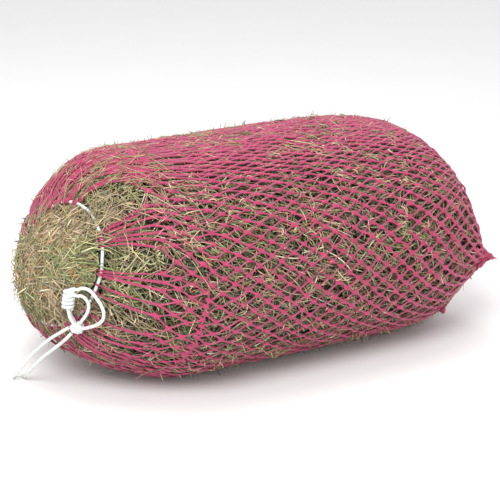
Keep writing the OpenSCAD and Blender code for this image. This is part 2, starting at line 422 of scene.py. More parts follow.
def stem_mat(nt, p):
    at = nt.nodes.new("ShaderNodeAttribute")
    at.attribute_name = "tint"
    spot = node(nt, "ShaderNodeTexNoise", Scale=70.0, Detail=3.0)
    grain = node(nt, "ShaderNodeTexNoise", Scale=1100.0, Detail=2.0)
    c = coords(nt)
    for n in (spot, grain):
        nt.links.new(c, n.inputs["Vector"])
    v1 = mix(nt, "MULTIPLY", remap(nt, spot.outputs["Fac"], 0.4, 0.65, 0.0, 0.75), at.outputs["Color"], (0.72, 0.66, 0.5, 1))
    v2 = mix(nt, "MULTIPLY", remap(nt, grain.outputs["Fac"], 0.3, 0.6, 0.45, 0.0), v1, (0.62, 0.58, 0.5, 1))
    nt.links.new(v2, p.inputs["Base Color"])
    nt.links.new(remap(nt, grain.outputs["Fac"], 0.3, 0.7, 0.55, 0.85), p.inputs["Roughness"])
    b = node(nt, "ShaderNodeBump", Strength=0.4, Distance=0.0004)
    nt.links.new(grain.outputs["Fac"], b.inputs["Height"])
    nt.links.new(b.outputs[0], p.inputs["Normal"])


# the near-black sheet under the hay: its colour is painted shade for the dark gaps between the stems
def shade_core_mat(nt, p):
    streak = node(nt, "ShaderNodeTexNoise", Scale=160.0, Detail=6.0)
    patch = node(nt, "ShaderNodeTexNoise", Scale=18.0, Detail=3.0)
    c = coords(nt)
    for n in (streak, patch):
        nt.links.new(c, n.inputs["Vector"])
    ramp = nt.nodes.new("ShaderNodeValToRGB")
    ramp.color_ramp.elements[0].position, ramp.color_ramp.elements[1].position = 0.42, 0.68
    ramp.color_ramp.elements[0].color, ramp.color_ramp.elements[1].color = (0.012, 0.010, 0.008, 1), (0.075, 0.060, 0.034, 1)
    nt.links.new(streak.outputs["Fac"], ramp.inputs[0])
    v = mix(nt, "MULTIPLY", remap(nt, patch.outputs["Fac"], 0.4, 0.6, 0.0, 0.7), ramp.outputs[0], (0.55, 0.55, 0.4, 1))
    nt.links.new(v, p.inputs["Base Color"])
    p.inputs["Roughness"].default_value = 0.9
    b = node(nt, "ShaderNodeBump", Strength=0.7, Distance=0.004)
    nt.links.new(streak.outputs["Fac"], b.inputs["Height"])
    nt.links.new(b.outputs[0], p.inputs["Normal"])


def floor_mat(nt, p):
    n = node(nt, "ShaderNodeTexNoise", Scale=3.0, Detail=2.0)
    nt.links.new(coords(nt), n.inputs["Vector"])
    nt.links.new(mix(nt, "MIX", n.outputs["Fac"], (0.90, 0.90, 0.90, 1), (0.93, 0.93, 0.93, 1)), p.inputs["Base Color"])
    p.inputs["Roughness"].default_value = 0.9


M_TWINE, M_CORD = material("pink twine", twine_mat), material("white braid", cord_mat)
M_STEM, M_SHADE_CORE = material("hay stems", stem_mat), material("painted shade core", shade_core_mat)
M_FLOOR = material("studio floor", floor_mat)

me = bpy.data.meshes.new("floor")
me.from_pydata([(-14, -14, 0), (14, -14, 0), (14, 14, 0), (-14, 14, 0)], [], [(0, 1, 2, 3)])
me.materials.append(M_FLOOR)
floor = bpy.data.objects.new("floor", me)
scene.collection.objects.link(floor)

# ---------------------------------------------------------------- white braided cord
WHITE = lin((231, 236, 234))


def carried(p, start=(0.3, 0.2, 1)):
    t = np.empty_like(p)
    t[1:-1] = p[2:] - p[:-2]
    t[0], t[-1] = p[1] - p[0], p[-1] - p[-2]
    t = unit(t)
    v = np.array(start, float)
    out = []
    for x in t:
        v = unit(v - x * (v @ x))
        out.append(v)
    return t, np.array(out)


def braid(b, route, radius, step=0.9, sides=24, closed=False, colour=WHITE, lay=9.5, ends=True):
    """a tube whose surface is really woven: eight strands over and under each other"""
    p = even(np.asarray(route, float), step)
    t, v = carried(p)
    if closed:
        p, v, t = p[:-1], v[:-1], t[:-1]
    w = np.cross(t, v)
    s = np.arange(len(p)) * np.linalg.norm(p[1] - p[0])
    if closed:
        turns = round(s[-1] / lay)
        lay = (s[-1] + np.linalg.norm(p[0] - p[-1])) / turns
    a = 2 * np.pi * np.arange(sides) / sides
    A, S = np.meshgrid(a, s)
    uu, vv = 4 * A / (2 * np.pi) + S / lay * 4 / 2, 4 * A / (2 * np.pi) - S / lay * 4 / 2
    fu, fv = uu - np.floor(uu), vv - np.floor(vv)
    par = (np.floor(uu) + np.floor(vv)).astype(int) % 2
    ru = np.sqrt(np.maximum(1 - (2 * fu - 1) ** 2, 0)) * (1 - 0.35 * (2 * fv - 1) ** 4)
    rv = np.sqrt(np.maximum(1 - (2 * fv - 1) ** 2, 0)) * (1 - 0.35 * (2 * fu - 1) ** 4)
    h = np.where(par == 0, ru, rv)
    r = radius * (0.86 + 0.15 * h)
    if not closed and ends:
        r[0] *= 0.6
        r[-1] *= 0.6
    g = p[:, None, :] + v[:, None, :] * (r * np.cos(A))[..., None] + w[:, None, :] * (r * np.sin(A))[..., None]
    # painted shade: the cord's colour is darker in the grooves between the woven strands
    shade = (0.72 + 0.28 * h)[..., None] * colour
    n, k = len(p), sides
    i = np.arange(n if closed else n - 1)[:, None]
    j = np.arange(k)[None, :]
    i2, j2 = (i + 1) % n, (j + 1) % k
    q = np.stack([i * k + j, i * k + j2, i2 * k + j2, i2 * k + j], -1).reshape(-1, 4)
    faces = [q]
    if not closed:
        faces += [np.arange(k)[None, ::-1], (n - 1) * k + np.arange(k)[None, :]]
    b.add(g.reshape(-1, 3), faces, shade.reshape(-1, 3))
    return p


CR = 3.5
K = np.array([-461.0, -103, 161])
STOP = np.array([-480.0, -104, 224])
outer_route = [[-468, -117, 247], [-459, -128, 252], [-449, -137, 247], [-441, -147, 233], [-435, -156, 217],
               [-433, -160, 202], [-435, -157, 188], [-441, -146, 177], [-449, -132, 169], [-456, -118, 163]]
inner_route = [[-470, -118, 235], [-461, -125, 235], [-453, -129, 226], [-449, -130, 214], [-450, -127, 201],
               [-453, -121, 189], [-457, -113, 178]]
pair_a = [[-483, -108, 203], [-479, -107, 188], [-471, -106, 173.5]]
pair_b = [[-476, -99, 203], [-472, -97, 189], [-465, -97, 175.5]]
loop_route = [[-474, -91, 161], [-481, -64, 142], [-488, -33, 120], [-497, 0, 91], [-507, 32, 57], [-515, 52, 30],
              [-520, 66, 14], [-519, 76, 7.5], [-514, 82.5, 4.5], [-506, 83.5, 3.8], [-499.5, 78, 4], [-498, 68, 5.5],
              [-499, 54, 13], [-498, 32, 35], [-491, -4, 70], [-483, -40, 100], [-476, -70, 125], [-468, -90, 147]]


def cord_piece(name, route, body, nodes):
    b = Build()
    p = braid(b, curve(route, 8), CR)
    o = b.make(name, [M_CORD])
    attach(o, body)
    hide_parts(*nodes)
    return o


loop_obj = cord_piece("hanging_loop_cord", loop_route, "loop", ["hanging_loop"])
outer_obj = cord_piece("pull_strand_outer_cord", outer_route, "pull_end", ["pull_strand_outer"])
inner_obj = cord_piece("pull_strand_inner_cord", inner_route, "pull_end", ["pull_strand_inner"])


def wraps(centre, axis, side, turns, pitch, radius, wobble=0.0, start=0.0, squash_=1.0):
    axis = unit(np.array(axis, float))
    u = unit(np.array(side, float) - axis * (np.array(side, float) @ axis))
    w = np.cross(axis, u)
    t = np.linspace(0, 1, int(40 * turns) + 1)
    a = start + 2 * np.pi * turns * t
    r = radius * (1 - 0.16 * np.abs(2 * t - 1) ** 3) + wobble * np.sin(5.3 * a)
    return np.array(centre) + axis * ((t - 0.5) * turns * pitch)[:, None] + u * (r * np.cos(a))[:, None] + w * (r * np.sin(a) * squash_)[:, None]


# the stopper knot: four wraps of the cord round its own two strands, with the two strands below it
b = Build()
ax = unit(np.array([0.09, -0.11, 1.0]))
braid(b, wraps(STOP + ax * 2.5, ax, (-1, 0.1, 0), 5.1, 8.0, 9.4, 0.35, 2.2), CR * 1.04)
braid(b, curve([outer_route[0], [-473, -113, 249], [-479, -107, 246], [-483, -101, 239]], 8), CR)
braid(b, curve([inner_route[0], [-475, -114, 237], [-481, -108, 235]], 8), CR)
braid(b, curve([STOP + [2, -6, 18], STOP + [-2, 0, 12], STOP + [-3, 3, 0], STOP + [-3, -2, -16], [-483, -108, 203], [-479, -107, 188], [-471, -106, 173.5], [-466, -104.5, 165.5]], 8), CR)
braid(b, curve([STOP + [11, -13, 15], STOP + [6, -6, 12], STOP + [2, 3, 4], STOP + [3, 4, -14], [-476, -99, 203], [-472, -97, 189], [-465, -97, 175.5], [-462.5, -100.5, 166.5]], 8), CR)
braid(b, curve([inner_route[-1], [-458.5, -109, 171], [-460, -106, 165]], 8), CR)
braid(b, curve([outer_route[-1], [-458, -113, 162], [-460, -108, 161.5]], 8), CR)
braid(b, curve([STOP + [-3, 8, -13], STOP + [-9, 3, -4], STOP + [-9, -3, 6], STOP + [-3, -8, 15], STOP + [6, -11, 19]], 8), CR)
stop_obj = b.make("stopper_knot_cord", [M_CORD])
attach(stop_obj, "pull_end")
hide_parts("stopper_knot", "pull_strand_pair")

# the slip knot that the loop, the strands and the drawstring meet in
b = Build()
axk = unit(np.array([-0.25, 0.75, -0.6]))
braid(b, wraps(K, axk, (-0.9, -0.3, 0.2), 2.6, 8.0, 8.4, 0.3, 0.6), CR)
braid(b, curve([K + [2, -12, 3], K + [-6, -8, 10], K + [-11, 2, 6], K + [-9, 8, -3], K + [-3, 8, -9], K + [4, 0, -9]], 8), CR)
braid(b, curve([K + [5, -10, 4], K + [1, -3, 1], K + [-3, 5, -6], K + [-8, 10, -10]], 8), CR)
braid(b, curve([K + [9, 9, 1], K + [4, 2, 8], K + [-3, -6, 9], K + [-4, -12, 2], K + [3, -9, -7]], 8), CR)
knot_obj = b.make("slip_knot_cord", [M_CORD])
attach(knot_obj, "bag")
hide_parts("slip_knot")

# the drawstring round the mouth, with small kinks where the mesh pulls on it
b = Build()
a = np.linspace(0, 2 * np.pi, 241)
kink = 0.5 * np.sin(9 * a + 1) + 0.35 * np.sin(17 * a)
ring_c = RC + OUT * (CR + 0.2)
ring_line = ring_c + (U1 * np.cos(a)[:, None] + V1 * np.sin(a)[:, None]) * (MR + 0.3 + 0.6 * kink)[:, None] + OUT * (0.8 * np.sin(11 * a + 2))[:, None]
braid(b, ring_line, CR, closed=True)
string_obj = b.make("drawstring_cord", [M_CORD])
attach(string_obj, "bag")
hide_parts("drawstring")

# ---------------------------------------------------------------- netting: junctions of the diamond mesh
BAR = 30.7
COLS = 144
RIM_L = LM[-1]

# columns of meshes lie closer together along the top, where the net is slack
_f = np.linspace(0, 1, 2001)
_w = 1 + 1.25 * np.exp(-((_f - 0.5) / 0.13) ** 2)
_cdf = np.r_[0, np.cumsum((_w[1:] + _w[:-1]) / 2)]
_cdf /= _cdf[-1]
f_col = np.interp(np.arange(COLS) / COLS, _cdf, _f)
f_gap = (np.roll(f_col, -1) - np.roll(f_col, 1)) % 1 / 2
f_side = float(np.interp(0.0, PHT[-1], np.arange(NF) / NF))  # fraction where the section is widest, +Y side


def seam_at(v):
    """the seam across the closed end, from the rear corner (v = 1) to the front corner (v = -1)"""
    y = 298 * v
    z = 186 - 13 * np.abs(v) ** 5
    inner = cap_x(np.clip(y, -262, 262), z) + 3
    k = smooth(0.72, 1.0, np.abs(v))
    return np.stack([inner * (1 - k) + 500 * k, y, z], -1)


def seam_v(f):
    f = np.mod(f, 1)
    top = (f >= f_side) & (f <= 1 - f_side)
    low = np.where(f > 0.5, f - 1, f)
    return np.where(top, 1 - 2 * (f - f_side) / (1 - 2 * f_side), low / f_side)


# each half column's way from the mouth ring over the rim to the seam
PATH, PLEN = [], []
for f in f_col:
    body = look(TAB, LM, np.full(NS, f))
    rim, end = body[-1], seam_at(seam_v(np.array([f])))[0]
    t = np.linspace(0, 1, 60)[1:]
    yz = rim[None, 1:] * (1 - t)[:, None] + end[None, 1:] * t[:, None]
    line = rim[0] * (1 - t) + end[0] * t
    y, z = yz[:, 0], yz[:, 1]
    x = np.maximum(cap_x(y, z), line)
    k = smooth(0.85, 1.0, t)
    x = x * (1 - k) + line * k * 1.0 + (x - line) * k * (1 - t)
    x = np.maximum(x, line)
    P = np.vstack([body, np.stack([x, y, z], -1)])
    PATH.append(P)
PATH = np.array(PATH)
D = np.concatenate([np.zeros((COLS, 1)), np.cumsum(np.linalg.norm(np.diff(PATH, axis=1), axis=-1), 1)], 1)
RHO = []
for c in range(COLS):
    mid = (D[c, 1:] + D[c, :-1]) / 2
    lm = np.minimum(np.r_[(LM[1:] + LM[:-1]) / 2, np.full(59, RIM_L)], RIM_L)
    dl = np.sqrt(np.maximum(BAR ** 2 - (f_gap[c] * np.interp(lm, LM, PER)) ** 2, 12 ** 2))
    RHO.append(np.r_[0, np.cumsum(np.diff(D[c]) / dl)])
RHO = np.array(RHO)
ROWS = int(round(np.percentile(RHO[:, -1], 75)))
START = np.interp(0.12, s_rows, LM)
for c in range(COLS):
    miss = ROWS - RHO[c, -1]
    t = np.clip((D[c] - START) / (D[c, -1] - START), 0, 1)
    RHO[c] = RHO[c] + miss * t ** 1.7

JP = np.zeros((ROWS + 1, COLS, 3))
for c in range(COLS):
    for k in range(3):
        JP[:, c, k] = np.interp(np.arange(ROWS + 1), RHO[c], PATH[c][:, k])

# outward normals and lengthwise directions of the lattice
JT = unit(np.gradient(JP, axis=0))
JR = unit(np.roll(JP, -1, 1) - np.roll(JP, 1, 1))
JN = unit(np.cross(JR, JT))
cen = JP.mean((0, 1))
if (JN * (JP - cen)).sum() < 0:
    JN = -JN
JR = unit(JR - JT * (JR * JT).sum(-1, keepdims=True))

# gathering at the mouth: the long end strands slide together on the cord in groups (degrees round the ring, how many)
GROUPS = [(-78, 3), (-60, 3), (-42, 2), (-24, 3), (-5, 3), (12, 3), (29, 6), (41, 6), (53, 6), (65, 6), (77, 5), (90, 3),
          (137, 3), (146, 4), (174, 3), (185, 1), (192, 1), (212, 1), (223, 2), (236, 4), (250, 2), (262, 2)]
TARGET = np.zeros(COLS)
at = 0
for deg, many in GROUPS:
    for k in range(many):
        step = 3.6 if 20 < deg < 100 else 4.2
        TARGET[at] = (deg + 90) / 360 + (k - (many - 1) / 2) * step / PER[0]
        at += 2
nxt = np.append(TARGET[2::2], TARGET[0] + 1)
TARGET[1::2] = (TARGET[0::2] + nxt) / 2


def gathered(f, amount):
    return f * (1 - amount) + TARGET * amount


FIRST = 4
ga = np.array([1.0, 0.9, 0.75, 0.58, 0.40, 0.25, 0.13, 0.06])
rowl = np.array([np.interp(r, RHO.mean(0)[:NS], LM) for r in range(10)])
for r, amount in enumerate(ga):
    g = gathered(f_col, amount)
    l = np.full(COLS, max(rowl[r], 0.5))
    JP[r] = on_body(l, g, np.zeros(COLS))
rows_i, cols_i = np.meshgrid(np.arange(ROWS + 1), np.arange(COLS), indexing="ij")
fade = smooth(0.5, 4, rows_i) * (1 - smooth(ROWS - 1.5, ROWS, rows_i))
n1, n2, n3 = Noise(8, 12), Noise(8, 12), Noise(14, 22)
u_, v_ = rows_i / ROWS, cols_i / COLS
slide_l = (3.2 * n1(u_, v_) + 0.9 * rng.standard_normal(JP.shape[:2])) * fade
slide_c = (2.6 * n2(u_, v_) + 0.8 * rng.standard_normal(JP.shape[:2])) * fade
lift = 1.4 * n3(u_, v_) + 0.7 * rng.standard_normal(JP.shape[:2])
JP = JP + JT * slide_l[..., None] + JR * slide_c[..., None] + JN * (np.clip(lift, -2.5, 3.2) * fade + 0.4)[..., None]


def settle(P):
    """the net and the hay are drawn towards the ears, and flattened below the front one"""
    P = P + np.array([-0.42, 0.70, 0.57]) * (9.0 * np.exp(-((np.linalg.norm(P - np.array([428.0, -268, 96]), axis=-1) / 62) ** 2)))[..., None]
    near = np.zeros(P.shape[:-1])
    for sy in (-1, 1):
        to = np.array([494.0, 292 * sy, 174]) - P
        k = smooth(0, 1, np.clip(1 - np.linalg.norm(to, axis=-1) / 160, 0, 1))
        P = P + to * (0.46 * k)[..., None]
        near = np.maximum(near, k)
    return P, near


JP, EAR = settle(JP)
JP = JP + JN * (4 * EAR * (1 - EAR))[..., None]
JP[..., 2] = np.maximum(JP[..., 2], 2.0)
TOPS = 1 - smooth(0.06, 0.17, np.abs(f_col - 0.48))

PINK = lin((182, 46, 95))
PALE = lin((178, 70, 108))
DEEP = lin((170, 37, 81))


def bars(r0, r1, extra=0.0, keep=None):
    """the bars between row r0 and r1 as (path, half widths, half heights, normals, colours)"""
    P0, P1, T0, T1, N0, N1, FAT, BIG, NEAR = [], [], [], [], [], [], [], [], []
    for r in range(r0, r1):
        for side in (1, -1):
            c = np.arange(r % 2, COLS, 2)
            d = (c + side) % COLS
            w0 = 1.3 * side
            FAT.append(np.full(len(c), side > 0))
            NEAR.append(EAR[r, c])
            BIG.append(1 + 1.05 * EAR[r, c] ** 0.6 + 0.42 * TOPS[c] + 0.33 * smooth(0.45, 0.8, r / ROWS) - 0.16 * smooth(150, 60, JP[r, c, 2]))
            P0.append(JP[r, c] + JR[r, c] * w0)
            P1.append(JP[r + 1, d] - JR[r + 1, d] * w0)
            T0.append(JT[r, c]); T1.append(JT[r + 1, d])
            N0.append(JN[r, c]); N1.append(JN[r + 1, d])
    P0, P1, T0, T1, N0, N1, FAT, BIG, NEAR = map(np.concatenate, (P0, P1, T0, T1, N0, N1, FAT, BIG, NEAR))
    FAT, BIG = FAT.astype(float)[:, None], BIG[:, None]
    n = len(P0)
    way = unit(P1 - P0)
    turn = 0.42 + 0.12 * FAT
    T0, T1 = unit(T0 * (1 - turn) + way * turn), unit(T1 * (1 - turn) + way * turn)
    L = np.linalg.norm(P1 - P0, axis=1)
    pull = np.clip(0.42 * L, 3, 13)[:, None]
    B1 = P0 + T0 * pull * rng.uniform(0.8, 1.15, (n, 1))
    B2 = P1 - T1 * pull * rng.uniform(0.8, 1.15, (n, 1))
    t = np.array([0, 0.10, 0.2, 0.32, 0.44, 0.56, 0.68, 0.8, 0.9, 1.0])[None, :, None]
    P = P0[:, None] * (1 - t) ** 3 + 3 * B1[:, None] * t * (1 - t) ** 2 + 3 * B2[:, None] * t * t * (1 - t) + P1[:, None] * t ** 3
    N = unit(N0[:, None] * (1 - t) + N1[:, None] * t)
    bow = rng.normal(0, 1.0, (n, 1, 1)) * np.sin(np.pi * t)
    lay = rng.normal(0.2, 1.1, (n, 1, 1)) * np.sin(np.pi * t)
    side = unit(np.cross(N, (P1 - P0)[:, None]))
    P = P + side * bow + N * lay
    tt = t[..., 0]
    ends = np.abs(2 * tt - 1)
    fat = rng.uniform(0.88, 1.14, (n, 1))
    rw = (1.62 + 0.36 * FAT + (0.8 + 1.15 * FAT) * smooth(0.4, 1.0, ends)) * fat * BIG
    rh = (1.6 + 0.35 * smooth(0.55, 1.0, ends)) * BIG
    k = np.maximum(np.maximum(smooth(0.4, 1.0, ends), 0.55 * FAT), np.minimum(1, 3.5 * NEAR[:, None]))[..., None]
    tone = rng.uniform(0.82, 1.12, (n, 1, 1))
    col = np.clip((PALE * (1 - k) + PINK * k) * tone, 0, 1)
    P[..., 2] = np.maximum(P[..., 2], 2.3)
    return P, rw, rh, N, np.broadcast_to(col, P.shape)


STAR_A = np.radians([0, 29, 56, 90, 122, 154, 180, 209, 236, 270, 302, 334])
STAR_R = np.array([6.0, 10.2, 6.4, 4.5, 4.1, 7.6, 6.0, 10.2, 6.4, 4.5, 4.1, 7.6])


def webs(b, r0, r1):
    """the flat star where four bars of a knotless net run together"""
    for r in range(r0, r1):
        c = np.arange(r % 2, COLS, 2)
        P, T, R, N = JP[r, c], JT[r, c], JR[r, c], JN[r, c]
        n = len(c)
        dn, dp = (c - 1) % COLS, (c + 1) % COLS
        rr = min(max(r, 1), ROWS - 1)
        wide = np.linalg.norm(JP[rr, dp] - JP[rr, dn], axis=1) / 32.5
        wide = np.maximum(np.clip(wide, 0.16, 1.15), 0.85 * EAR[r, c])[:, None]
        k = (1.0 + 0.12 * smooth(0.3, 0.7, r / ROWS)) * STAR_R[None] * rng.uniform(0.86, 1.14, (n, 12)) * rng.uniform(0.88, 1.15, (n, 1)) * (1 + 0.25 * EAR[r, c])[:, None]
        x, y = k * np.cos(STAR_A) * (1.12 - 0.12 * wide), k * np.sin(STAR_A) * wide
        top, low = 2.3, -1.3
        rings = []
        for scale, z in ((0.55, top), (0.93, top * 0.55), (1.0, 0.2), (0.8, low)):
            rings.append(P[:, None] + T[:, None] * (x * scale)[..., None] + R[:, None] * (y * scale)[..., None] + N[:, None] * z)
        ct, cb = P + N * (top + 0.15), P + N * (low - 0.2)
        v = np.concatenate([np.stack(rings, 1).reshape(n, 48, 3), ct[:, None], cb[:, None]], 1)
        v[..., 2] = np.maximum(v[..., 2], 0.6)
        o = (np.arange(n) * 50)[:, None]
        i = np.arange(12)
        j = (i + 1) % 12
        quads = np.concatenate([np.stack([o + q * 12 + j, o + q * 12 + i, o + q * 12 + 12 + i, o + q * 12 + 12 + j], -1).reshape(-1, 4)
                                for q in range(3)])
        t1 = np.stack([o + i, o + j, o + 48 + 0 * i], -1).reshape(-1, 3)
        t2 = np.stack([o + 36 + j, o + 36 + i, o + 49 + 0 * i], -1).reshape(-1, 3)
        col = np.clip(PINK * rng.uniform(0.88, 1.12, (n, 1)), 0, 1)
        b.add(v.reshape(-1, 3), [quads, t1, t2], np.repeat(col, 50, axis=0))


cuts = [0, 6, 10, 15, 20, 25, 30, 34, 38]
cuts = [c for c in cuts if c < ROWS - 3] + [ROWS]
for i in range(len(cuts) - 1):
    b = Build()
    P, rw, rh, N, col = bars(max(cuts[i], FIRST), cuts[i + 1])
    b.tubes(P, rw, rh, N, 8, col, phase=0.2)
    webs(b, max(cuts[i], FIRST), cuts[i + 1] + (1 if cuts[i + 1] == ROWS else 0))
    if i == 0:
        # each end loop goes round the drawstring
        c = np.arange(0, COLS, 2)
        g = JP[0, c]
        rad = unit((g - RC) - OUT * ((g - RC) @ OUT)[:, None])
        a = np.linspace(-2.2, 3.0, 13)[None, :, None]
        ring = ring_c + rad[:, None] * (MR + 0.3) + (rad[:, None] * np.cos(a) + OUT * np.sin(a)) * (CR + 1.5)
        ring = ring + np.cross(OUT, rad)[:, None] * (rng.normal(0, 1.2, (len(c), 1, 1)) + np.linspace(-1.2, 1.2, 13)[None, :, None])
        b.tubes(ring, 1.9, 1.5, rad[:, None] * np.cos(a) + OUT * np.sin(a), 8, PINK * rng.uniform(0.85, 1.1, (len(c), 1)))
        # the two legs of each end loop, lying together, out to the first junctions
        t = np.linspace(0, 1, 14)[None]
        n = len(c)
        f0, f1 = TARGET[c][:, None], gathered(f_col, ga[FIRST])[c][:, None]
        l = 1.5 + (rowl[FIRST] - 1.5) * t
        f = f0 + (f1 - f0) * t ** 1.15 + rng.normal(0, 0.0011, (n, 1)) * np.sin(np.pi * t)
        strand = on_body(l + 0 * f, f, 1.6 + rng.normal(0.3, 0.9, (n, 1)) * np.sin(np.pi * t) + 0 * f)
        strand = strand + (JP[FIRST, c] - strand[:, -1])[:, None] * (t ** 2)[..., None]
        strand = strand + (ring[:, 0] - strand[:, 0])[:, None] * ((1 - t) ** 6)[..., None]
        N = unit(look(NTAB, l + 0 * f, f))
        aside = unit(np.cross(N, strand[:, -1:] - strand[:, :1]))
        twist = rng.uniform(0, 6.28, (n, 1)) + t * rng.uniform(1.5, 5.0, (n, 1))
        for leg in (1, -1):
            w = leg * (1.35 * np.sin(twist) * (1 - t ** 4) + 1.3 * t ** 4)
            h = leg * 0.9 * np.cos(twist) * (1 - t ** 3)
            P = strand + aside * w[..., None] + N * (h + 0.4)[..., None]
            P[..., 2] = np.maximum(P[..., 2], 2.3)
            b.tubes(P, np.where(np.abs(f0 - 0.38) < 0.13, 1.2, 1.45) + 0.5 * smooth(0.8, 1.0, t) + 0 * twist, 1.3, N, 8, np.clip((0.35 * PALE + 0.65 * PINK) * rng.uniform(0.84, 1.12, (n, 1)), 0, 1))
    o = b.make(f"netting_{i + 1}", [M_TWINE])
    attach(o, "bag")
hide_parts("netting")


# gathered corners and the seam across the closed end
def gather_band(b, route, width, lam, strands=5, radius=1.9, hug=2.0):
    """edge meshes drawn together: strands that zigzag over each other along a line"""
    p = even(curve(route, 8), 1.5)
    t = unit(np.gradient(p, axis=0))
    out = unit(p - np.array([250.0, 0, 200]))
    n = unit(out - t * (out * t).sum(-1, keepdims=True))
    aside = np.cross(n, t)
    s_ = np.arange(len(p)) * 1.5
    w = np.interp(s_, np.linspace(0, s_[-1], len(width)), width)
    for k in range(strands):
        ph = 2 * np.pi * k / strands + rng.uniform(-0.4, 0.4)
        a = 2 * np.pi * s_ / (lam * rng.uniform(0.85, 1.2)) + ph
        q = p + aside * (w * (0.75 * np.sin(a) + 0.25 * np.sin(2.3 * a + k)))[:, None] + n * (hug + 1.7 * np.cos(a * 1.01 + k))[:, None]
        q[:, 2] = np.maximum(q[:, 2], 2.5)
        r = radius * (1 + 0.18 * np.sin(1.7 * a + k))[None]
        b.tubes(q[None], r, 0.85 * r, n[None], 8, np.clip(PINK * rng.uniform(0.82, 1.12), 0, 1))


def ear(side):
    b = Build()
    tip = np.array([500.0, 298.0 * side, 174.0])
    root = np.array([469.0, 274.0 * side, 173.0])
    ax_ = unit(tip - root)
    flat = unit(np.cross(ax_, [0, 0, 1]))
    n = 34
    t = np.linspace(0, 1, 16)
    L0 = np.linalg.norm(tip - root) + 16
    for k in range(n):
        u = -1 + 2 * k / (n - 1)
        layer = rng.uniform(-1, 1)
        wide = 25.0 * (1 - t) ** 0.85 + 3.6 * t
        cross = rng.uniform(-0.34, 0.34)
        v_ = np.clip(u + cross * (t - 0.5) * 2 + 0.1 * np.sin(5 * t + k), -1, 1)
        p = (root - ax_ * 16)[None] + ax_ * (L0 * (t - 0.02 * abs(u)))[:, None]
        p = p + np.array([0, 0, 1.0]) * (wide * v_)[:, None] + flat * ((5.5 * (1 - t) + 1.2) * layer * np.sqrt(np.maximum(1 - v_ ** 2, 0.1)))[:, None]
        b.tubes(p[None], 2.3 - 0.5 * t[None], 1.8 - 0.3 * t[None], flat, 8, np.clip(PINK * rng.uniform(0.8, 1.14), 0, 1))
    # cross strands that hold the gathered tab together
    for k in range(7):
        d = 4 + 5.4 * k
        w_ = 3.6 + 20.0 * (d / L0)
        a = np.linspace(0, 2 * np.pi, 41)
        c_ = tip - ax_ * d
        q = c_ + np.array([0, 0, 1.0]) * (w_ * np.cos(a))[:, None] + flat * ((2.6 + 4.2 * d / L0) * np.sin(a))[:, None] + ax_ * (1.6 * np.sin(3 * a + k))[:, None]
        b.tubes(q[None], 1.7, 1.5, unit(q - c_)[None], 8, DEEP)
    route = [[482, -290, 170], [461, -300, 164], [447, -294, 154], [436, -287, 140], [428, -277, 124], [424, -268, 106],
             [415, -259, 89], [411, -250, 72], [400, -246, 55]]
    route = np.array(route) * [1, -side, 1]
    gather_band(b, route, [9, 8, 7, 6, 4.5, 4, 3.5, 3, 3], 15.0)
    gather_band(b, route, [6, 6, 5, 4, 3.5, 3, 2.5, 2, 2], 11.0, 3, 1.7, 3.4)
    # the second, small ear at the end of the gathered edge
    end = route[-1]
    out = unit(np.array([0.30, 0.62 * side, -0.72]))
    along_ = unit(route[-1] - route[-2])
    for k in range(9):
        u = (k - 4) / 4
        q0 = end + along_ * (7.5 * u) - out * 2
        q1 = end + along_ * 2 + out * 10 + along_ * u * 1.6
        tt = np.linspace(0, 1, 8)[:, None]
        q = q0 * (1 - tt) + q1 * tt + np.cross(out, along_) * (1.6 * np.sin(np.pi * tt) * (-1) ** k)
        b.tubes(q[None], 2.0, 1.7, np.cross(out, along_), 8, np.clip(PINK * rng.uniform(0.8, 1.1), 0, 1))
    # loose thread ends
    tail = curve([tip - ax_ * 3, tip + [0.5, 1 * side, -3], tip + [0.5, 0, -8]], 6)
    b.tubes(tail[None], 1.4, 1.3, np.array([0, side, 0.2]), 8, PINK)
    m = route[3]
    tail = curve([m, m + np.array([3, 4 * side, -3]), m + np.array([5, 7 * side, -9])], 6)
    b.tubes(tail[None], 1.2, 1.1, np.array([0, side, 0.2]), 8, DEEP)
    o = b.make("corner_ear_front_net" if side < 0 else "corner_ear_rear_net", [M_TWINE])
    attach(o, "bag")
    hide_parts("corner_ear_front" if side < 0 else "corner_ear_rear")
    return o


# (in the CAD part the front corner is the one on the -Y side)
ear(-1)
ear(1)

b = Build()
v = np.linspace(-0.78, 0.78, 161)
lace = seam_at(v)
lace[:, 0] += 1.5 + 2.6 * np.sin(v * 60)
lace[:, 2] += 1.8 * np.cos(v * 60)
lace[:, 0] = np.minimum(lace[:, 0], 506)
braid(b, lace, 3.0)
o = b.make("base_lacing_cord", [M_CORD])
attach(o, "bag")
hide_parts("base_lacing")

# ---------------------------------------------------------------- hay
PAL = np.array([lin(c) for c in ((190, 183, 138), (222, 213, 176), (152, 157, 118), (116, 128, 94), (174, 156, 132),
                                 (148, 112, 92), (194, 148, 114), (90, 88, 64), (206, 193, 166), (136, 141, 124))])
PAL = PAL * [1.03, 0.93, 1.02]
WT = np.array([0.17, 0.13, 0.15, 0.11, 0.13, 0.08, 0.04, 0.09, 0.07, 0.03])
WT /= WT.sum()


def tints(n, pale=0.0):
    c = PAL[rng.choice(len(PAL), n, p=WT)] * rng.uniform(0.55, 1.42, (n, 1))
    if pale:
        c = c * (1 - pale) + lin((216, 214, 168)) * pale
    return np.clip(c, 0, 1)


K6 = np.linspace(-0.5, 0.5, 6)


def shape_stems(n, long, spread, bend):
    """stems as steps along and across a flat chart"""
    L = np.clip(rng.lognormal(math.log(long), 0.45, n), 0.35 * long, 2.3 * long)[:, None]
    a0 = spread(n)[:, None]
    k = rng.normal(0, bend, (n, 1))
    t = K6[None, :]
    ang = a0 + k * t * 2
    da = np.cos(ang) * L / 5
    db = np.sin(ang) * L / 5
    A = np.cumsum(da, 1) - da / 2
    B = np.cumsum(db, 1) - db / 2
    return A - A.mean(1, keepdims=True), B - B.mean(1, keepdims=True), L


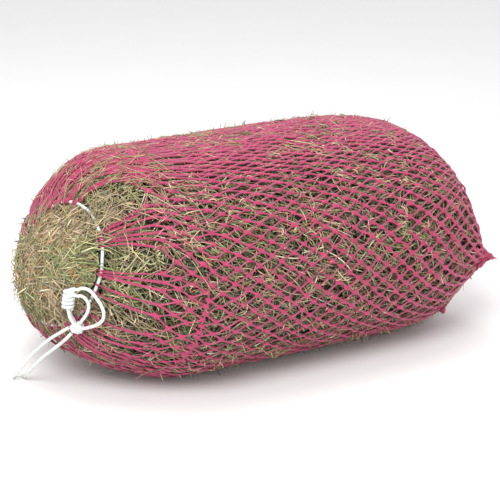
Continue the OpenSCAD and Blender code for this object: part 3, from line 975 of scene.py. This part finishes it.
def depth(n, L, lo, hi, tilt=4.5):
    u = rng.uniform(0, 1, (n, 1))
    d = lo + (hi - lo) * u ** 1.15
    t = K6[None, :]
    return -(d + rng.normal(0, tilt, (n, 1)) * t * 1.6 + rng.normal(0, 2.0, (n, 1)) * (4 * t * t - 0.4))


def any_way(n):
    a = rng.uniform(0, np.pi, n)
    pick = rng.uniform(0, 1, n) < 0.45
    return np.where(pick, rng.normal(0.35, 0.55, n), a)


n_patch = Noise(7, 9)


def patch_of(P):
    """how brown the hay is at a place: it comes in clumps"""
    m = P.mean(1)
    return smooth(0.25, 1.3, n_patch((m[:, 2] - 60) / 420, (m[:, 1] + 400) / 640 + m[:, 0] / 900))


n_green = Noise(11, 11)


def green_of(P):
    m = P.mean(1)
    return smooth(-0.3, 1.2, n_green((m[:, 2] - 60) / 420, (m[:, 1] - m[:, 0]) / 1150))


def stem_tubes(b, P, N, L, w, pale=0.0, floor_z=1.2, brown=None, depth_shade=None):
    n = len(P)
    t = K6[None, :]
    wid = rng.uniform(w[0], w[1], (n, 1)) * (1 - 0.55 * smooth(0.2, 0.5, np.abs(t)) * rng.uniform(0.3, 1, (n, 1)))
    flat = rng.uniform(0.4, 0.85, (n, 1))
    P = P.copy()
    P[..., 2] = np.maximum(P[..., 2], floor_z + 0.8 * rng.uniform(0, 1, (n, 1)))
    base = tints(n, pale)
    g = (green_of(P) * rng.uniform(0.3, 1.3, n))[:, None]
    base = base * (np.array([1.05, 0.985, 1.02]) * (1 - g) + np.array([0.83, 1.01, 0.80]) * g)
    if pale == 0:
        base = base * [1.05, 1.06, 1.13]
    if brown is None:
        brown = 0.5 * patch_of(P)
    dry = lin((164, 124, 92)) * rng.uniform(0.7, 1.2, (n, 1))
    k = (brown * rng.uniform(0.1, 1.0, n))[:, None]
    # painted shade: stems that lie deeper in the hay are darkened, and those near the surface lightened
    if depth_shade is not None:
        base, dry = base * (1.42 - 0.92 * depth_shade), dry * (1.42 - 0.92 * depth_shade)
    col = (base * (1 - k) + dry * k)[:, None, :] * (1 + 0.16 * rng.standard_normal((n, 1, 1)) * t[..., None] * 2)
    b.tubes(P, wid, wid * flat, N, 3, np.clip(col, 0, 1), phase=rng.uniform(0, 6))


flake_at = [-0.80, -0.30, 0.04, 0.18, 0.32, 0.46, 0.60, 0.75, 0.985]
edges = [0.0] + [l_at(s) for s in flake_at[:-1]] + [RIM_L]
n_core = Noise(60, 90)


def core_ring(l, f, off):
    return on_body(l, f, -(off + 3.2 * n_core(l / RIM_L, f)))


def net_at(r, c):
    """a place on the net, by row and half column"""
    r, c = np.clip(r, 0, ROWS - 1e-6), np.mod(c, COLS)
    i, j = r.astype(int), c.astype(int) % COLS
    a, b_, j1 = (r - i)[..., None], (c - np.floor(c))[..., None], (j + 1) % COLS
    return (JP[i, j] * (1 - a) + JP[i + 1, j] * a) * (1 - b_) + (JP[i, j1] * (1 - a) + JP[i + 1, j1] * a) * b_


COVER = 1.6
LONG = 50
for i in range(9):
    b = Build()
    lo, hi = edges[i], edges[i + 1]
    # a near-black sheet under the loose stems, its colour painted shade for the gaps between them
    nl, nf = max(int((hi - lo) / 9), 5), 170
    L_, F_ = np.meshgrid(np.linspace(lo + (2 if i else 12), hi, nl), np.arange(nf) / nf, indexing="ij")
    g = core_ring(L_, F_, 26.0)
    g[..., 2] = np.maximum(g[..., 2], 14)
    inner = g.mean(1, keepdims=True)
    first, last = inner[0] * 0.999 + g[0] * 0.001, inner[-1] * 0.999 + g[-1] * 0.001
    g = np.concatenate([first[None], g, last[None]])
    b.grid(g, (0.03, 0.025, 0.012), mat=1)
    areas = np.interp((lo + hi) / 2, LM, PER) * (hi - lo)
    n = int(areas * COVER / (LONG * 2.3))
    l0 = rng.uniform(lo, hi, (n, 1))
    f0 = rng.uniform(0, 1, (n, 1))
    A, B, L = shape_stems(n, LONG, any_way, 0.2)
    l = np.clip(l0 + A, 1, RIM_L - 0.5)
    f = f0 + B / np.interp(l0, LM, PER)
    off = depth(n, L, 2.0 if i == 0 else 3.5, 18 if i == 0 else 25)
    P = on_body(l, f, off)
    N = unit(look(NTAB, l, f))
    # painted shade: stems are darker the deeper they lie, and the last three flakes, towards the closed end, are darker
    # still as the side away from the key light
    stem_tubes(b, settle(P)[0] if i >= 7 else P, N, L, (0.75, 1.7), depth_shade=np.clip(-off.mean(1, keepdims=True) / 24 + (0.16 if i >= 6 else 0.0), 0, 1.15))
    # tufts that swell out through the meshes
    n = int(areas * 0.00030)
    lc, fc, hc = rng.uniform(lo, hi, (n, 1)), rng.uniform(0, 1, (n, 1)), rng.uniform(3.5, 10, (n, 1))
    lc, fc, hc = np.repeat(lc, 7, 0), np.repeat(fc, 7, 0), np.repeat(hc, 7, 0)
    n = len(lc)
    if i < 3:
        hc = hc * 0.5
    A, B, L = shape_stems(n, 26, any_way, 0.5)
    l = np.clip(lc + rng.normal(0, 5.0, (n, 1)) + 0.8 * A, 1, RIM_L - 0.5)
    f = fc + (rng.normal(0, 5.0, (n, 1)) + 0.8 * B) / np.interp(lc, LM, PER)
    P = on_body(l, f, -3 + hc * rng.uniform(0.5, 1.2, (n, 1)) * np.sin(np.pi * (0.15 + 0.75 * (K6[None] + 0.5))))
    stem_tubes(b, settle(P)[0] if i >= 7 else P, unit(look(NTAB, l, f)), L, (0.8, 1.5), 0.05)
    # short broken ends that stick out through the meshes
    n = int(areas * 0.0011)
    l0, f0 = rng.uniform(lo, hi, (n, 1)), rng.uniform(0, 1, (n, 1))
    A, B, L = shape_stems(n, 22, any_way, 0.5)
    l, f = np.clip(l0 + 0.6 * A, 1, RIM_L - 0.5), f0 + 0.6 * B / np.interp(l0, LM, PER)
    out_ = -5 + (8 + 15 * rng.uniform(0, 1, (n, 1)) ** 2) * (K6[None] + 0.5)
    P = on_body(l, f, out_)
    stem_tubes(b, settle(P)[0] if i >= 7 else P, unit(look(NTAB, l, f)), L, (0.7, 1.3), 0.15)
    if i in (0, 8):
        o = b.make(f"hay_{i + 1}", [M_STEM, M_SHADE_CORE])
        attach(o, "bag")
        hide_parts(f"hay_flake_{i + 1}")
        b = Build()
    if i == 0:
        # hay bulging out of the mouth
        r = np.linspace(0, 0.97, 18)[:, None]
        a = 2 * np.pi * np.arange(96)[None, :] / 96
        # the near-black sheet under the mouth's stems, its colour painted shade
        g, _ = on_dome(112 * r * np.cos(a), 112 * r * np.sin(a), -14 + 2.5 * n_core(r + 0 * a, a / 6.2832))
        gi = np.concatenate([g, (g[-1:] - OUT * 30)])
        b.grid(gi, (0.03, 0.025, 0.012), mat=1, flip=True)
        n = 3000
        rr, aa = 118 * np.sqrt(rng.uniform(0, 1, (n, 1))), rng.uniform(0, 2 * np.pi, (n, 1))
        A, B, L = shape_stems(n, 60, lambda m: rng.uniform(0, np.pi, m), 0.25)
        dd = depth(n, L, -3, 15, 7)
        P, N = on_dome(rr * np.cos(aa) + A, rr * np.sin(aa) + B, dd)
        # painted shade: the mouth's stems are darker the deeper they lie
        stem_tubes(b, P, N, L, (0.9, 2.1), 0.22, brown=patch_of(P), depth_shade=np.clip((14 - dd.mean(1, keepdims=True)) / 38, 0, 1))
        # stems lying round inside the drawstring, so that the hay meets the cord
        n = 900
        aa = rng.uniform(0, 2 * np.pi, (n, 1))
        a2 = aa + rng.normal(0, 0.16, (n, 1)) * (K6[None] + 0.5)
        rad_ = np.clip(rng.uniform(112, 123.5, (n, 1)) + rng.normal(0, 7, (n, 1)) * K6[None], 106, 124)
        h_ = rng.uniform(-9, 2.5, (n, 1)) + rng.normal(0, 3, (n, 1)) * K6[None]
        P = RC + (U1 * np.cos(a2)[..., None] + V1 * np.sin(a2)[..., None]) * rad_[..., None] + OUT * h_[..., None]
        stem_tubes(b, P, np.broadcast_to(OUT, P.shape), None, (0.9, 1.9), 0.15)
        # hay packed close behind the drawstring
        n = 700
        l0, f0 = rng.uniform(2, 60, (n, 1)), rng.uniform(0, 1, (n, 1))
        A, B, L = shape_stems(n, 42, any_way, 0.25)
        l, f = np.clip(l0 + A, 1.5, 120), f0 + B / np.interp(l0, LM, PER)
        stem_tubes(b, on_body(l, f, depth(n, L, 0.5, 9, 3)), unit(look(NTAB, l, f)), L, (0.8, 1.6), 0.1)
        # tufts that push out of the mouth, and stems that lie over the drawstring
        n = 240
        aa = rng.uniform(0, 2 * np.pi, (n, 1))
        r0, r1 = rng.uniform(70, 112, (n, 1)), rng.uniform(112, 121, (n, 1))
        t = (K6 + 0.5)[None]
        a2 = aa + rng.normal(0, 0.2, (n, 1)) * t
        rad_ = (r0 * (1 - t) + r1 * t)
        less = 1 - 0.8 * smooth(4, 28, np.degrees(a2)) * (1 - smooth(84, 110, np.degrees(a2)))
        P, N = on_dome(rad_ * np.cos(a2), rad_ * np.sin(a2), -4 + (8 + 16 * rng.uniform(0, 1, (n, 1)) ** 2) * t * less)
        stem_tubes(b, P, N, None, (1.0, 2.0), 0.1)
        n = 230
        pick = rng.choice(6, n, p=[0.36, 0.04, 0.20, 0.24, 0.16, 0.0])
        cen_ = np.radians(np.array([10.0, 62.0, 225.0, 305.0, 138.0, 200.0]))[pick]
        a0 = (cen_ + rng.normal(0, 0.33, n))[:, None]
        a1 = a0 + rng.normal(0, 0.16, (n, 1))
        a2 = a1 + rng.normal(0, 0.16, (n, 1))
        r0 = rng.uniform(88, 118, (n, 1))
        Q0 = on_dome(r0 * np.cos(a0), r0 * np.sin(a0), np.full((n, 1), 1.5))[0][:, 0]
        Q1 = ring_c + (U1 * np.cos(a1) + V1 * np.sin(a1)) * (MR + rng.uniform(-2, 3, (n, 1))) + OUT * rng.uniform(4.8, 8.5, (n, 1))
        fr = np.array([frac_at_ring(math.degrees(x) % 360) for x in a2[:, 0]])
        Q2 = on_body(rng.uniform(8, 50, n), fr, rng.uniform(1.5, 4.5, n))
        tq = (K6 + 0.5)[None, :, None]
        P = Q0[:, None] * (1 - tq) * (1 - 2 * tq) + Q1[:, None] * 4 * tq * (1 - tq) + Q2[:, None] * tq * (2 * tq - 1)
        stem_tubes(b, P, np.broadcast_to(OUT, P.shape), None, (0.7, 1.5), 0.25)
        n = 420
        rr, aa = 118 * np.sqrt(rng.uniform(0, 1, (n, 1))), rng.uniform(0, 2 * np.pi, (n, 1))
        A, B, L = shape_stems(n, 19, lambda m: rng.uniform(0, np.pi, m), 0.9)
        P, N = on_dome(rr * np.cos(aa) + A, rr * np.sin(aa) + B, depth(n, L, -4, 8, 5))
        leaf = np.array([lin((176, 128, 82)), lin((122, 138, 84)), lin((150, 152, 104))])[rng.choice(3, n, p=[0.4, 0.35, 0.25])]
        b.tubes(P, rng.uniform(2.0, 4.4, (n, 1)) * np.sin(np.pi * (K6[None] + 0.54) / 1.08), 0.5, N + 0.5 * rng.standard_normal((n, 1, 3)), 4, leaf)
    if i == 8:
        # the closed end
        yy = 1.0
        rim = look(TAB, np.full(170, RIM_L), np.arange(170) / 170)
        c0 = np.array([480.0, 0, 205])
        u = np.linspace(0, 1, 22)[:, None]
        y, z = rim[None, :, 1] * yy * (1 - u), c0[2] + (rim[None, :, 2] - c0[2]) * yy * (1 - u)
        # the near-black sheet under the closed end's stems, its colour painted shade
        g, _ = on_cap(y, z, np.full(y.shape, -26.0) + 3 * n_core(u + 0 * y, np.arange(170)[None] / 170 + 0 * u))
        g[..., 2] = np.maximum(g[..., 2], 12)
        b.grid(g, (0.03, 0.025, 0.012), mat=1)
        n = int(np.pi * 330 * 215 * COVER * 1.2 / (LONG * 2.3))
        f = rng.uniform(0, 1, n)
        k = np.where(rng.uniform(0, 1, n) < 0.45, rng.uniform(0.84, 1.0, n), 0.9 * np.sqrt(rng.uniform(0, 1, n)))[:, None]
        rimp = look(TAB, np.full(n, RIM_L), f)
        y0, z0 = rimp[:, 1:2] * k, 205 + (rimp[:, 2:3] - 205) * k
        A, B, L = shape_stems(n, LONG, any_way, 0.2)
        y, z = y0 + A, z0 + B
        q = np.hypot(y / 322, (z - 208) / 231)
        kk = np.minimum(1, 0.995 / np.maximum(q, 1e-6))
        y, z = y * kk, 208 + (z - 208) * kk
        dd = depth(n, L, 3.5, 25)
        P, N = on_cap(y, z, dd)
        # painted shade: the closed end's stems are darker the deeper they lie
        stem_tubes(b, settle(P)[0], N, L, (0.75, 1.7), depth_shade=np.clip(-dd.mean(1, keepdims=True) / 24, 0, 1))
        o = b.make("closed_end_hay", [M_STEM, M_SHADE_CORE])
        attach(o, "bag")
        b = Build()
        # hay right under the net at the closed end and in its corners, over a near-black core sheet whose colour is
        # painted shade
        first = int(np.argmax(JP[:, :, 0].mean(1) > 322))
        heart = np.array([250.0, 0, 200])
        rows = JP[first:]
        far = np.linalg.norm(rows - heart, axis=-1, keepdims=True)
        g = heart + (rows - heart) * (1 - 13 / far) - unit(rows - heart) * (2.5 * n_core(np.arange(len(rows))[:, None] / len(rows) + 0 * far[..., 0], np.arange(COLS)[None] / COLS + 0 * far[..., 0]))[..., None]
        g[..., 2] = np.maximum(g[..., 2], 8)
        b.grid(g, (0.03, 0.025, 0.012), mat=1)
        n = 3000
        r0, c0 = rng.uniform(first, ROWS, (n, 1)), rng.uniform(0, COLS, (n, 1))
        A, B, L = shape_stems(n, 44, any_way, 0.2)
        P = net_at(r0 + A / 25, c0 + B / 13.5)
        N = unit(P - heart)
        dd = depth(n, L, 2.5, 15, 3)
        close = np.minimum(np.linalg.norm(P.mean(1) - np.array([494.0, -292, 174]), axis=-1), np.linalg.norm(P.mean(1) - np.array([494.0, 292, 174]), axis=-1))
        # painted shade: the corner hay is darker the deeper it lies and the closer it is to the gathered ears
        stem_tubes(b, P + N * dd[..., None], N, L, (0.75, 1.6), depth_shade=np.clip(-dd.mean(1, keepdims=True) / 18 + 0.9 * smooth(105, 40, close)[:, None], 0, 1.25))
    name = {0: "mouth_hay", 8: "corner_hay"}.get(i, f"hay_{i + 1}")
    o = b.make(name, [M_STEM, M_SHADE_CORE])
    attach(o, "bag")
    if 0 < i < 8:
        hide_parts(f"hay_flake_{i + 1}")

# loose straws caught on and poking out through the netting
b = Build()
n = 1500
l0 = rng.uniform(15, RIM_L, (n, 1))
f0 = np.where(rng.uniform(0, 1, (n, 1)) < 0.72, rng.normal(0.52, 0.12, (n, 1)), rng.uniform(0, 1, (n, 1)))
l0[:230], f0[:230] = rng.uniform(25, 260, (230, 1)), rng.normal(0.535, 0.085, (230, 1))
A, B, L = shape_stems(n, 38, any_way, 0.22)
l, f = np.clip(l0 + A, 1, RIM_L - 0.5), f0 + B / np.interp(l0, LM, PER)
off = rng.uniform(-1.5, 3.0, (n, 1)) + rng.normal(0, 4.5, (n, 1)) * K6[None] * 1.8
off[:230] = rng.uniform(2.5, 6.0, (230, 1)) + rng.normal(0, 3.0, (230, 1)) * K6[None]
P, N = on_body(l, f, np.clip(off, -8, 9)), unit(look(NTAB, l, f))
stem_tubes(b, settle(P)[0], N, L, (0.6, 1.15), 0.42)
n = 220
rr, aa = 122 * np.sqrt(rng.uniform(0, 1, (n, 1))), rng.uniform(0, 2 * np.pi, (n, 1))
A, B, L = shape_stems(n, 52, lambda m: rng.uniform(0, np.pi, m), 0.3)
P, N = on_dome(rr * np.cos(aa) + A, rr * np.sin(aa) + B, np.clip(rng.uniform(0, 4, (n, 1)) + rng.normal(0, 5, (n, 1)) * K6[None], -6, 8))
stem_tubes(b, P, N, L, (0.7, 1.3), 0.35)
o = b.make("loose_straws", [M_STEM])
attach(o, "bag")
